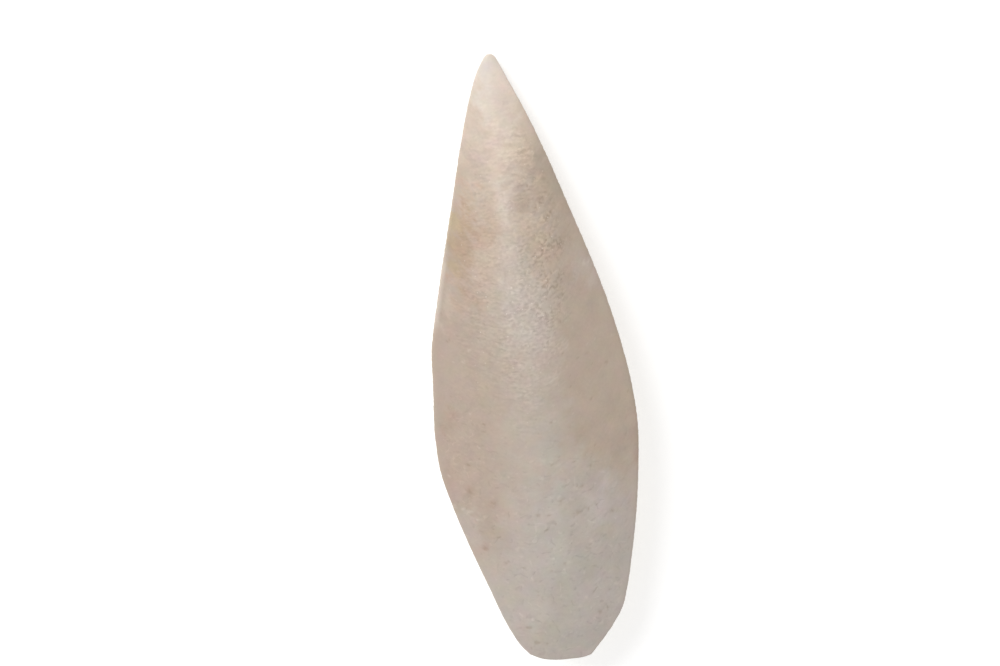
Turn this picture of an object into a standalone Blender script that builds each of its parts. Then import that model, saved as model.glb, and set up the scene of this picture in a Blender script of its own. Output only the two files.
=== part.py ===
"""Cuttlebone, the chambered inner shell of a cuttlefish, lying on its underside.

The frame: +Y runs to the pointed hind end, +X is to the right seen from above and +Z is up, out of
the granular shield. The origin is on the supporting surface, under the middle of the shell's box.
Sizes below are in millimetres. A "station" is a distance from the blunt front end along the shell,
"out" is a distance to the right of its long axis, and heights are above the supporting surface.
The shell is laid out in growth lines, each an arch across it whose middle is its foremost point.
"""

import math

import bmesh
import bpy
import numpy as np

MM = 0.001
LENGTH = 150.0
ROWS = 74
COLUMNS = 32
# How much of the rows' and columns' spacing is drawn closer towards the ends and rims.
ROW_CROWDING = 0.2
COLUMN_CROWDING = 0.5

# The outline seen from above. The front edge runs from the left corner to the right one as
# (out, station), and each side edge from its front corner to the point as (station, out).
FRONT_EDGE = [(-7.2, 2.2), (-4.6, 0.9), (-1.5, 0.2), (2.5, 0.0), (6.0, 0.1), (7.7, 0.5)]
RIGHT_EDGE = [
    (0.5, 7.7), (2.6, 9.8), (7.9, 14.5), (11.0, 16.6), (16.2, 18.5), (25.0, 20.8), (34.0, 22.8),
    (45.0, 24.6), (56.0, 25.7), (66.0, 25.3), (75.0, 24.1), (89.0, 21.3), (100.0, 18.3), (112.0, 14.7),
    (124.0, 11.1), (136.0, 6.9), (143.0, 4.0), (148.0, 1.9), (149.4, 1.2), (150.0, 0.6),
]
LEFT_EDGE = [
    (2.2, -7.2), (4.6, -9.2), (8.0, -11.0), (20.0, -15.4), (33.0, -19.7), (41.0, -22.0), (49.0, -23.8),
    (58.0, -24.2), (70.0, -23.3), (79.0, -22.6), (91.0, -19.8), (115.0, -13.3), (129.0, -9.5),
    (140.0, -6.0), (146.0, -3.5), (148.7, -1.8), (149.6, -1.1), (150.0, -0.6),
]
FRONT_FADE = 14.0
# How far a growth line's ends lie behind its middle, by the station of the middle.
GROWTH_BOW = [(0, 0.0), (15, 6.5), (35, 13.5), (55, 16.5), (80, 14.0), (105, 9.0), (130, 4.0), (150, 0.0)]

# Heights along the shell, as (station, millimetres).
RIM_HEIGHT = [(0, 9.6), (20, 11.2), (55, 12.2), (90, 10.6), (120, 7.4), (140, 4.0), (150, 2.4)]
SHIELD_ARCH = [
    (0, 0.0), (5, 2.0), (18, 4.4), (40, 6.0), (65, 6.4), (95, 5.6), (122, 3.8), (140, 1.7), (150, 0.4),
]
BODY_DEPTH = [
    (0, 0.0), (3, 3.4), (10, 7.3), (22, 9.7), (35, 10.7), (48, 11.2), (62, 12.1), (76, 10.8), (90, 8.1),
    (105, 5.4), (120, 3.2), (130, 1.8), (141, 1.9), (150, 0.6),
]
SHIELD_ROUNDNESS = 1.9
# The chambered body's half width as a share of the shell's: the thin outer cone shows beyond it.
BODY_SHARE = [(0, 0.97), (40, 0.95), (70, 0.90), (95, 0.80), (115, 0.69), (135, 0.60), (150, 0.55)]
BODY_ROUNDNESS = 2.6
BODY_FULLNESS = 0.8
CONE_SLOPE = 0.10

RIM_THICKNESS = 0.6
BREAK_THICKNESS = 1.8
BREAK_STATION = 5.5
BREAK_OUT = 12.8
BREAK_REACH = 6.0

# The rib down the middle of the shield, which broadens and fades towards the front end.
RIB_HEIGHT = [(0, 0.0), (40, 0.0), (62, 0.45), (90, 0.7), (113, 0.8), (128, 0.35), (140, 0.15), (150, 0.0)]
RIB_HALF_WIDTH = [(0, 11.0), (60, 9.0), (90, 5.6), (115, 3.4), (138, 2.6), (150, 1.6)]
RIB_OUT = [(0, -0.8), (60, -1.2), (85, -0.6), (110, 0.9), (135, 1.0), (150, 0.0)]
# The hollow to the right of the rib, steep on the rib's side and gentle on the other.
HOLLOW_DEPTH = 0.5
HOLLOW_OUTS = (2.6, 5.6, 6.4, 15.0)
HOLLOW_STATIONS = (107.5, 112.0, 114.0, 130.0)
WAVE_HEIGHT = 0.07
WAVE_LENGTH = 11.0
BEAD_HEIGHT = 0.35
BEAD_WIDTH = 0.9
BEAD_STATIONS = (82.0, 90.0, 112.0, 120.0)

# The underside: the smooth last chamber in front, and the stepped older chambers behind it.
LAST_CHAMBER = 48.0
LEDGE_HEIGHT = 0.7
LEDGE_RUN = 2.0
STEP_HEIGHT = 0.4
STEP_LENGTH = 6.4
STEP_DROP = 0.3
GROOVE_DEPTH = 1.1
GROOVE_HALF_WIDTH = 3.0
GROOVE_STATIONS = (49.0, 64.0, 116.0, 132.0)
CONE_RIDGE_HEIGHT = 1.0
CONE_RIDGE_HALF_WIDTH = 1.6
CONE_RIDGE_STATIONS = (60.0, 90.0, 138.0, 146.0)

# Relief dies out towards the two ends, and beyond these shares of the half width.
END_FADES = (0.0, 6.0, 142.0, LENGTH)
SHIELD_MARGIN = 0.80
BODY_MARGIN = 0.75

SHELL_COLOUR = (0.578, 0.485, 0.392, 1.0)
SHELL_ROUGHNESS = 0.85
SHARP_ANGLE = math.radians(45.0)


def through(knots, at):
    """Values, at the given places, of the smooth curve that passes through the knots."""
    place, value = np.array(knots, float).T
    gap = np.diff(place)
    slope = np.diff(value) / gap
    inner = (slope[:-1] * gap[1:] + slope[1:] * gap[:-1]) / (gap[:-1] + gap[1:])
    tangent = np.concatenate((slope[:1], inner, slope[-1:]))
    i = np.clip(np.searchsorted(place, at) - 1, 0, len(gap) - 1)
    t = np.clip((at - place[i]) / gap[i], 0.0, 1.0)
    rise = (3.0 - 2.0 * t) * t * t
    lean_in = t * (1.0 - t) ** 2 * gap[i] * tangent[i]
    lean_out = t * t * (1.0 - t) * gap[i] * tangent[i + 1]
    return value[i] * (1.0 - rise) + value[i + 1] * rise + lean_in - lean_out


def ramp(at, start, end):
    """0 at start, 1 at end, smooth between them."""
    t = np.clip((at - start) / (end - start), 0.0, 1.0)
    return t * t * (3.0 - 2.0 * t)


def stretch(at, stations):
    """1 between the two middle stations, fading to 0 at the outer two."""
    first, full, last, gone = stations
    return ramp(at, first, full) * ramp(at, gone, last)


def hump(distance, half_width):
    """A rounded ridge's height as a share of its crest, at a distance from it."""
    return np.exp(-((distance / half_width) ** 2))


def near_ends(growth):
    """1 over most of the shell, fading to 0 at its two ends, where relief dies out."""
    return stretch(growth, END_FADES)


def plan(growth, side):
    """Station, out and half width at points on growth lines. Side is -1 at the left rim, 1 at the right."""
    front_out = FRONT_EDGE[0][0] + (FRONT_EDGE[-1][0] - FRONT_EDGE[0][0]) * (side + 1.0) / 2.0
    fade = ramp(growth, FRONT_FADE, 0.0)
    bow = through(GROWTH_BOW, growth)
    station = growth + bow * side**2 + through(FRONT_EDGE, front_out) * fade
    right = through(RIGHT_EDGE, growth + bow + FRONT_EDGE[-1][1] * fade)
    left = through(LEFT_EDGE, growth + bow + FRONT_EDGE[0][1] * fade)
    half_width = (right - left) / 2.0
    return station, (right + left) / 2.0 + side * half_width, half_width


def rim_thickness(station, out):
    """Thin all round, and thicker where the front right corner is broken off."""
    from_break = np.hypot(station - BREAK_STATION, out - BREAK_OUT)
    return RIM_THICKNESS + (BREAK_THICKNESS - RIM_THICKNESS) * hump(from_break, BREAK_REACH)


def shield_relief(growth, station, out, side, half_width):
    """The rib, the hollow beside it, the growth waves and the bead along the left rim."""
    from_rib = out - through(RIB_OUT, station)
    rib = through(RIB_HEIGHT, station) * hump(from_rib, through(RIB_HALF_WIDTH, station))
    hollow = HOLLOW_DEPTH * stretch(out, HOLLOW_OUTS) * stretch(station, HOLLOW_STATIONS)
    wave = WAVE_HEIGHT * np.cos(2.0 * math.pi * growth / WAVE_LENGTH)
    bead = BEAD_HEIGHT * hump((1.0 + side) * half_width, BEAD_WIDTH) * stretch(station, BEAD_STATIONS)
    inside = 1.0 - ramp(np.abs(side), SHIELD_MARGIN, 1.0)
    return (rib - hollow + wave) * inside + bead


def shield_height(growth, station, out, side, half_width):
    """Height of the shield above the middle of the rim's wall."""
    arch = through(SHIELD_ARCH, growth) * (1.0 - np.abs(side) ** SHIELD_ROUNDNESS)
    relief = shield_relief(growth, station, out, side, half_width) * near_ends(growth)
    return rim_thickness(station, out) / 2.0 + arch + relief


def underside_relief(growth, station, out, side, half_width, body_share):
    """How far the underside's ledge, steps and groove lie inside the smooth body."""
    ledge = LEDGE_HEIGHT * ramp(growth, LAST_CHAMBER, LAST_CHAMBER + LEDGE_RUN)
    turn = (growth - LAST_CHAMBER) / STEP_LENGTH
    turn -= np.floor(turn)
    tooth = np.minimum(turn / (1.0 - STEP_DROP), (1.0 - turn) / STEP_DROP)
    steps = STEP_HEIGHT * tooth * ramp(growth, LAST_CHAMBER, LAST_CHAMBER + STEP_LENGTH)
    groove = GROOVE_DEPTH * hump(out, GROOVE_HALF_WIDTH) * stretch(station, GROOVE_STATIONS)
    from_body_edge = (np.abs(side) - body_share) * half_width
    ridge = CONE_RIDGE_HEIGHT * hump(from_body_edge, CONE_RIDGE_HALF_WIDTH)
    ridge *= stretch(station, CONE_RIDGE_STATIONS)
    inside = 1.0 - ramp(np.abs(side) / body_share, BODY_MARGIN, 1.0)
    return (ledge + steps + groove) * inside - ridge


def underside_depth(growth, station, out, side, half_width):
    """Depth of the underside below the middle of the rim's wall."""
    body_share = through(BODY_SHARE, station)
    within = np.clip(np.abs(side) / body_share, 0.0, 1.0)
    body = through(BODY_DEPTH, growth) * (1.0 - within**BODY_ROUNDNESS) ** BODY_FULLNESS
    cone = CONE_SLOPE * (1.0 - side**2) / 2.0 * half_width
    relief = underside_relief(growth, station, out, side, half_width, body_share) * near_ends(growth)
    return rim_thickness(station, out) / 2.0 + cone + body - relief


def shell_points(block):
    """Places of the shell's points, in metres, for the points of a block that spans -1 to 1 each way."""
    along = (block[:, 1] + 1.0) / 2.0
    crowded_along = (1.0 - np.cos(along * math.pi)) / 2.0
    growth = LENGTH * (along + ROW_CROWDING * (crowded_along - along))
    crowded_across = np.sin(block[:, 0] * math.pi / 2.0)
    side = block[:, 0] + COLUMN_CROWDING * (crowded_across - block[:, 0])
    station, out, half_width = plan(growth, side)
    above = shield_height(growth, station, out, side, half_width)
    below = underside_depth(growth, station, out, side, half_width)
    height = through(RIM_HEIGHT, station) + np.where(block[:, 2] > 0.0, above, -below)
    height = np.maximum(height, 0.0)
    points = np.column_stack((out, station, height))
    middle = (points.min(axis=0) + points.max(axis=0)) / 2.0
    middle[2] = 0.0
    return (points - middle) * MM


def divided_block():
    """A block of two by two by two, cut into rows along Y and columns along X."""
    block = bmesh.new()
    bmesh.ops.create_cube(block, size=2.0)
    for axis, parts in ((0, COLUMNS), (1, ROWS)):
        runs_along = [
            edge for edge in block.edges if abs(edge.verts[0].co[axis] - edge.verts[1].co[axis]) > 1.0
        ]
        bmesh.ops.subdivide_edges(block, edges=runs_along, cuts=parts - 1, use_grid_fill=True)
    return block


def shell_material():
    material = bpy.data.materials.new("cuttlebone")
    material.use_nodes = True
    surface = material.node_tree.nodes["Principled BSDF"]
    surface.inputs["Base Color"].default_value = SHELL_COLOUR
    surface.inputs["Roughness"].default_value = SHELL_ROUGHNESS
    surface.inputs["Metallic"].default_value = 0.0
    return material


def make_cuttlebone(collection):
    """One closed body: a finely divided block whose points are moved on to the shell's surface."""
    block = divided_block()
    points = shell_points(np.array([vertex.co[:] for vertex in block.verts]))
    for vertex, point in zip(block.verts, points):
        vertex.co = point.tolist()
    mesh = bpy.data.meshes.new("cuttlebone")
    block.to_mesh(mesh)
    block.free()
    mesh.shade_smooth()
    mesh.set_sharp_from_angle(angle=SHARP_ANGLE)
    mesh.materials.append(shell_material())
    shell = bpy.data.objects.new("cuttlebone", mesh)
    collection.objects.link(shell)
    return shell


def main():
    for old in list(bpy.data.objects):
        bpy.data.objects.remove(old, do_unlink=True)
    collection = bpy.data.collections.new("cuttlebone")
    bpy.context.scene.collection.children.link(collection)
    make_cuttlebone(collection)


main()
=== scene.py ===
"""Looks of the cuttlebone: its grained shield, chambered underside, colours, light and camera.

The shell is laid out as in the part: +Y runs to the pointed hind end, +X is to the right seen from
above and +Z is up, out of the shield. A "station" is a distance from the blunt front end along the
shell and "out" a distance to the right of its long axis, in millimetres. Growth lines are arches
across the shell whose middle is their foremost point. "Side" is -1 at the left rim, 1 at the right.
"""

import math

import bpy
import numpy as np
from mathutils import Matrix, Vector


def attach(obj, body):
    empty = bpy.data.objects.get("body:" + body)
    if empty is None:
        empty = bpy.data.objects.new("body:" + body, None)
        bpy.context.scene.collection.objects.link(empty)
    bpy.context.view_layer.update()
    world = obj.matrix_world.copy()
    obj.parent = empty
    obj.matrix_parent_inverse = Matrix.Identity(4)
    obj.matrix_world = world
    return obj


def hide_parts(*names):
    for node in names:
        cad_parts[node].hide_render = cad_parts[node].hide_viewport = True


MM = 0.001
LENGTH = 150.0
ROWS = 604
COLUMNS = 114
WALL_ROWS = 4
UNDERSIDE_STRIDE = 3
EDGE_ROUNDING = 0.3
SEED = 7

# The outline seen from above. The front edge runs from the left corner to the right one as
# (out, station), and each side edge from its front corner to the point as (station, out).
FRONT_EDGE = [(-7.2, 2.2), (-4.6, 0.9), (-1.5, 0.2), (2.5, 0.0), (6.0, 0.1), (7.7, 0.5)]
RIGHT_EDGE = [
    (0.5, 7.7), (2.6, 9.8), (7.9, 14.5), (11.0, 16.6), (16.2, 18.5), (25.0, 20.8), (34.0, 22.8),
    (45.0, 24.6), (56.0, 25.7), (66.0, 25.3), (75.0, 24.1), (89.0, 21.3), (100.0, 18.3), (112.0, 14.7),
    (124.0, 11.1), (136.0, 6.9), (143.0, 4.0), (148.0, 1.9), (149.4, 1.2), (150.0, 0.6),
]
LEFT_EDGE = [
    (2.2, -7.2), (4.6, -9.2), (8.0, -11.0), (20.0, -15.4), (33.0, -19.7), (41.0, -22.0), (49.0, -23.8),
    (58.0, -24.2), (70.0, -23.3), (79.0, -22.6), (91.0, -19.8), (115.0, -13.3), (129.0, -9.5),
    (140.0, -6.0), (146.0, -3.5), (148.7, -1.8), (149.6, -1.1), (150.0, -0.6),
]
FRONT_FADE = 14.0
# How far a growth line's ends lie behind its middle, by the station of the middle.
GROWTH_BOW = [(0, 0.0), (15, 6.5), (35, 13.5), (55, 16.5), (80, 14.0), (105, 9.0), (130, 4.0), (150, 0.0)]

# Heights along the shell, as (station, millimetres).
RIM_HEIGHT = [(0, 9.6), (20, 11.2), (55, 12.2), (90, 10.6), (120, 7.4), (140, 4.0), (150, 2.4)]
SHIELD_ARCH = [
    (0, 0.0), (5, 2.0), (18, 4.4), (40, 6.0), (65, 6.4), (95, 5.6), (122, 3.8), (140, 1.7), (150, 0.4),
]
BODY_DEPTH = [
    (0, 0.0), (3, 3.4), (10, 7.3), (22, 9.7), (35, 10.7), (48, 11.2), (62, 12.1), (76, 10.8), (90, 8.1),
    (105, 5.4), (120, 3.2), (130, 1.8), (141, 1.9), (150, 0.6),
]
SHIELD_ROUNDNESS = 1.9
BODY_SHARE = [(0, 0.97), (40, 0.95), (70, 0.90), (95, 0.80), (115, 0.69), (135, 0.60), (150, 0.55)]
BODY_ROUNDNESS = 2.6
BODY_FULLNESS = 0.8
CONE_SLOPE = 0.10

RIM_THICKNESS = 0.6
BREAK_THICKNESS = 1.8
BREAK_STATION = 5.5
BREAK_OUT = 12.8
BREAK_REACH = 6.0

# The rib down the middle of the shield, which broadens and fades towards the front end.
RIB_HEIGHT = [(0, 0.0), (40, 0.0), (62, 0.45), (90, 0.7), (113, 0.8), (128, 0.35), (140, 0.15), (150, 0.0)]
RIB_HALF_WIDTH = [(0, 11.0), (60, 9.0), (90, 5.6), (115, 3.4), (138, 2.6), (150, 1.6)]
RIB_OUT = [(0, -0.8), (60, -1.2), (85, -0.6), (110, 0.9), (135, 1.0), (150, 0.0)]
# The hollow to the right of the rib, steep on the rib's side and gentle on the other.
HOLLOW_DEPTH = 0.5
HOLLOW_OUTS = (2.6, 5.6, 6.4, 15.0)
HOLLOW_STATIONS = (107.5, 112.0, 114.0, 130.0)
WAVE_HEIGHT = 0.07
WAVE_LENGTH = 11.0
BEAD_HEIGHT = 0.35
BEAD_WIDTH = 0.9
BEAD_STATIONS = (82.0, 90.0, 112.0, 120.0)

# The underside: the smooth last chamber in front, and the stepped older chambers behind it.
LAST_CHAMBER = 48.0
LEDGE_HEIGHT = 0.7
LEDGE_RUN = 2.0
STEP_HEIGHT = 0.4
STEP_LENGTH = 6.4
STEP_DROP = 0.3
GROOVE_DEPTH = 1.1
GROOVE_HALF_WIDTH = 3.0
GROOVE_STATIONS = (49.0, 64.0, 116.0, 132.0)
CONE_RIDGE_HEIGHT = 1.0
CONE_RIDGE_HALF_WIDTH = 1.6
CONE_RIDGE_STATIONS = (60.0, 90.0, 138.0, 146.0)
# Relief dies out towards the two ends, and beyond these shares of the half width.
END_FADES = (0.0, 6.0, 142.0, LENGTH)
SHIELD_MARGIN = 0.80
BODY_MARGIN = 0.75

# Random relief is laid out on a grid of cells over the shell, which repeats beyond its ends. It is
# blurred noise less the same noise blurred more widely. Where its strength is evened out, the floor
# keeps its weakest places from being raised too far.
FIELD_CELL = 0.125
FIELD_LENGTH = 160.0
FIELD_WIDTH = 64.0
WIDER_BLUR = 2.0
EVENING_FLOOR = 0.01
# Sizes of its humps, as (half length across the shell, half length along it). These three fields
# serve the whole skin: one wavers the edges of patches, one is for slow and one for fine changes.
WAVER_HUMPS = (1.2, 1.0)
BROAD_HUMPS = (1.5, 1.3)
FINE_HUMPS = (0.3, 0.25)
PATCH_WAVER = 0.6
PATCH_FINE_WAVER = 0.3
# Fine relief starts and is full at these distances from the rim.
RIM_FADE = (0.4, 3.0)
UNEVENNESS = 0.03

# The shield's grain: short curled wrinkles in the middle and on the right, which pass into longer
# ripples to the left and towards both ends. They follow arches whose ends lie behind their middles,
# by the distance from the axis times a factor by the station, and less so on the left. In front of
# the hind part they tilt too. Each of the wavers shifts them by (how far, its humps).
GRAIN_DEPTH = 0.20
GRAIN_ARCH = [(0, 0.0), (3, 0.1), (6, 0.7), (9, 2.3), (12, 4.9), (18, 12.0), (26, 22.0)]
GRAIN_ARCHING = [(0, 1.2), (55, 1.2), (76, 1.2), (84, 0.4), (92, 0.1), (150, 0.0)]
LEFT_ARCHING = 0.35
GRAIN_TILT = 0.3
TILTED_STATIONS = (114.0, 100.0)
GRAIN_WAVERS = [(0.13, (0.45, 0.45)), (0.07, (0.28, 0.28))]
CURL_HUMPS = (0.30, 0.14)
RIPPLE_HUMPS = (0.9, 0.20)
GRAIN_EVENING = 2.5
GRAIN_SHARPNESS = 1.1
GRAIN_PATCHINESS = 0.15
PATCHINESS_HUMPS = (0.6, 0.5)
PATCHINESS_LIMITS = (0.3, 2.0)
BARE_GRAIN = 0.08
MOST_ROUGH = 1.3
# Patches are ovals, as (station, out, half length, half width, turn in degrees, softness, strength).
GRAIN_PATCHES = [
    (98.0, -4.0, 32.0, 12.0, 6.0, 0.35, 0.39), (92.0, 6.5, 16.0, 6.5, 8.0, 0.30, 0.50),
    (78.0, 1.0, 15.0, 8.0, 0.0, 0.40, 0.38), (121.0, 6.0, 13.0, 5.5, -14.0, 0.40, 0.43),
    (92.0, -7.0, 13.0, 5.0, 4.0, 0.50, 0.36), (136.0, 0.0, 10.0, 6.0, 0.0, 0.60, 0.06),
    (63.0, -0.5, 8.0, 4.5, 0.0, 0.60, 0.28),
]
# Where the furrows of the grain are darkened, and how deep they are where this starts and is full.
DARKENED_FURROW_PATCHES = [
    (93.0, 9.0, 12.0, 4.0, 6.0, 0.50, 1.0), (118.0, 7.5, 10.0, 4.0, -12.0, 0.50, 0.5),
    (104.0, 6.0, 9.0, 5.0, 0.0, 0.50, 0.4),
]
FURROW_LEVELS = (0.2, 0.8)
# The least share of ripples in the grain, and how much is added to the left, behind and in front.
LEAST_RIPPLES = 0.15
LEFT_RIPPLES = 0.45
LEFT_RIPPLE_OUTS = (1.0, -7.0)
HIND_RIPPLES = 0.67
HIND_RIPPLE_STATIONS = (105.0, 118.0)
FRONT_RIPPLES = 0.5
FRONT_RIPPLE_STATIONS = (71.0, 62.0)
# Longer folds among the grain, each from one (station, out) to another. The skin is lowered by
# their height along these stations, and they rise out of it. Their tone is painted light on them.
FOLDS = [
    ((121.3, -11.0), (116.6, -6.9)), ((119.9, -8.6), (117.4, -6.0)), ((127.4, -7.0), (126.4, -4.4)),
    ((91.9, 9.4), (90.2, 12.0)), ((88.0, 9.2), (86.6, 11.4)), ((85.4, 10.2), (83.9, 11.4)),
]
FOLD_HALF_WIDTH = 0.3
FOLD_HEIGHT = 0.09
FOLD_STATIONS = (0.0, 20.0, 128.0, 142.0)
FOLD_PAINTED_LIGHT = 0.9
# Sparse creases and pimples on the smoother parts, where thin strokes of colour lie too. The levels
# are those of their random field at which they start and are full.
MARK_DEPTH = 0.09
MARK_WAVERS = [(0.13, (0.5, 0.5))]
MARK_HUMPS = (0.40, 0.20)
PIMPLE_LEVELS = (1.1, 2.4)
CREASE_LEVELS = (-1.2, -2.5)
# How far the creases take painted shade and the pimples painted light, through the grain's tone.
MARK_SHADE_AND_LIGHT = 0.6
MARK_PATCHES = [
    (22.0, 0.0, 30.0, 24.0, 0.0, 0.40, 1.0), (50.0, -16.0, 22.0, 9.0, 0.0, 0.50, 0.6),
    (66.0, 20.0, 30.0, 8.0, 0.0, 0.50, 0.20), (134.0, 0.0, 16.0, 8.0, 0.0, 0.50, 0.25),
    (106.0, -12.0, 16.0, 5.0, 12.0, 0.50, 0.5),
]
# The worn outer skin of the left front margin, which flakes off in thin scales.
FLAKE_DEPTH = 0.10
FLAKE_PATCHES = [(49.0, -19.5, 18.0, 6.0, 10.0, 0.45, 1.0)]
SCALE_HUMPS = (0.45, 0.35)
SCALE_LEVELS = (-0.25, 0.25)

# Pits and dirt specks that show one by one, as (station, out, radius), and how many more there are.
PITS = [
    (56.9, -20.9, 0.38), (40.2, -11.5, 0.45), (29.5, -15.2, 0.5), (43.6, -17.2, 0.55), (46.7, 12.8, 0.4),
    (38.8, 4.6, 0.5), (35.6, 8.5, 0.45), (36.0, -1.3, 0.4), (10.6, 11.0, 0.5), (4.9, -5.2, 0.5),
    (8.7, -6.5, 0.4), (25.2, -10.3, 0.3), (23.6, 3.9, 0.3), (91.6, 9.9, 0.35), (82.5, 9.6, 0.35),
    (71.4, 19.6, 0.3), (74.1, 15.3, 0.3), (71.9, -6.0, 0.3), (81.2, -18.0, 0.35), (41.8, 10.2, 0.4),
    (35.0, 17.0, 0.4), (36.3, 11.1, 0.4), (32.1, 0.4, 0.35), (35.7, 1.4, 0.3), (48.0, 9.0, 0.3),
]
PIT_DEPTH = 0.09
MORE_PITS = 150
FLECKS = [
    (28.6, -7.1, 0.35), (20.6, -4.6, 0.3), (107.6, 5.9, 0.3), (43.2, -3.7, 0.3), (78.2, -13.2, 0.35),
    (40.9, -21.3, 0.35), (39.7, -19.4, 0.3), (38.7, -17.8, 0.35), (36.5, -15.6, 0.35), (28.4, 11.1, 0.5),
    (126.6, -11.0, 0.3), (12.5, 6.5, 0.4), (14.6, 8.0, 0.4), (95.9, 17.1, 0.5), (17.0, 16.0, 0.5),
]
MORE_FLECKS = 110
SPOT_STATIONS = (1.0, 128.0)
SPOT_OUTS = (-24.0, 25.0)
SPOT_RADII = (0.12, 0.24)
# A spot is drawn out by a factor between these two, in a direction that spreads about the line
# across the shell by so many radians, and its edge is ragged. It is nil beyond so many radii.
SPOT_STRETCH = (1.0, 1.8)
SPOT_TURN = 0.5
SPOT_RAGGEDNESS = 0.3
SPOT_REACH = 3.0

# Striae of the underside: the edges of its thin chamber walls, which waver and vary in strength.
# They start and are full at these distances behind the last chamber's edge.
STRIA_LENGTH = 1.3
STRIA_HEIGHT = 0.075
STRIA_START = (-1.0, 2.0)
STRIA_WAVER = 0.28
STRIA_WAVER_HUMPS = (3.5, 3.0)
STRIA_VARIATION = 0.4
COARSE_HUMPS = (1.6, 0.8)
COARSE_DEPTH = 0.03
PORE_HUMPS = (0.25, 0.2)
PORE_DEPTH = 0.02
# The outer cone's tint starts and is full so far from the body's edge, in shares of the half width.
CONE_FADE = (-0.04, 0.03)

# How far chips bite into the rim, and how far where the front right corner is broken. They start
# and are full at these sides and half widths, and each rim reads them along a line so far out.
NICK_DEPTH = 0.07
BREAK_NICK_DEPTH = 0.16
NICK_HUMPS = (0.3, 0.3)
NICK_SIDES = (0.9, 1.0)
NICK_HALF_WIDTHS = (2.0, 6.0)
NICK_OUT = 16.0

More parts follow.
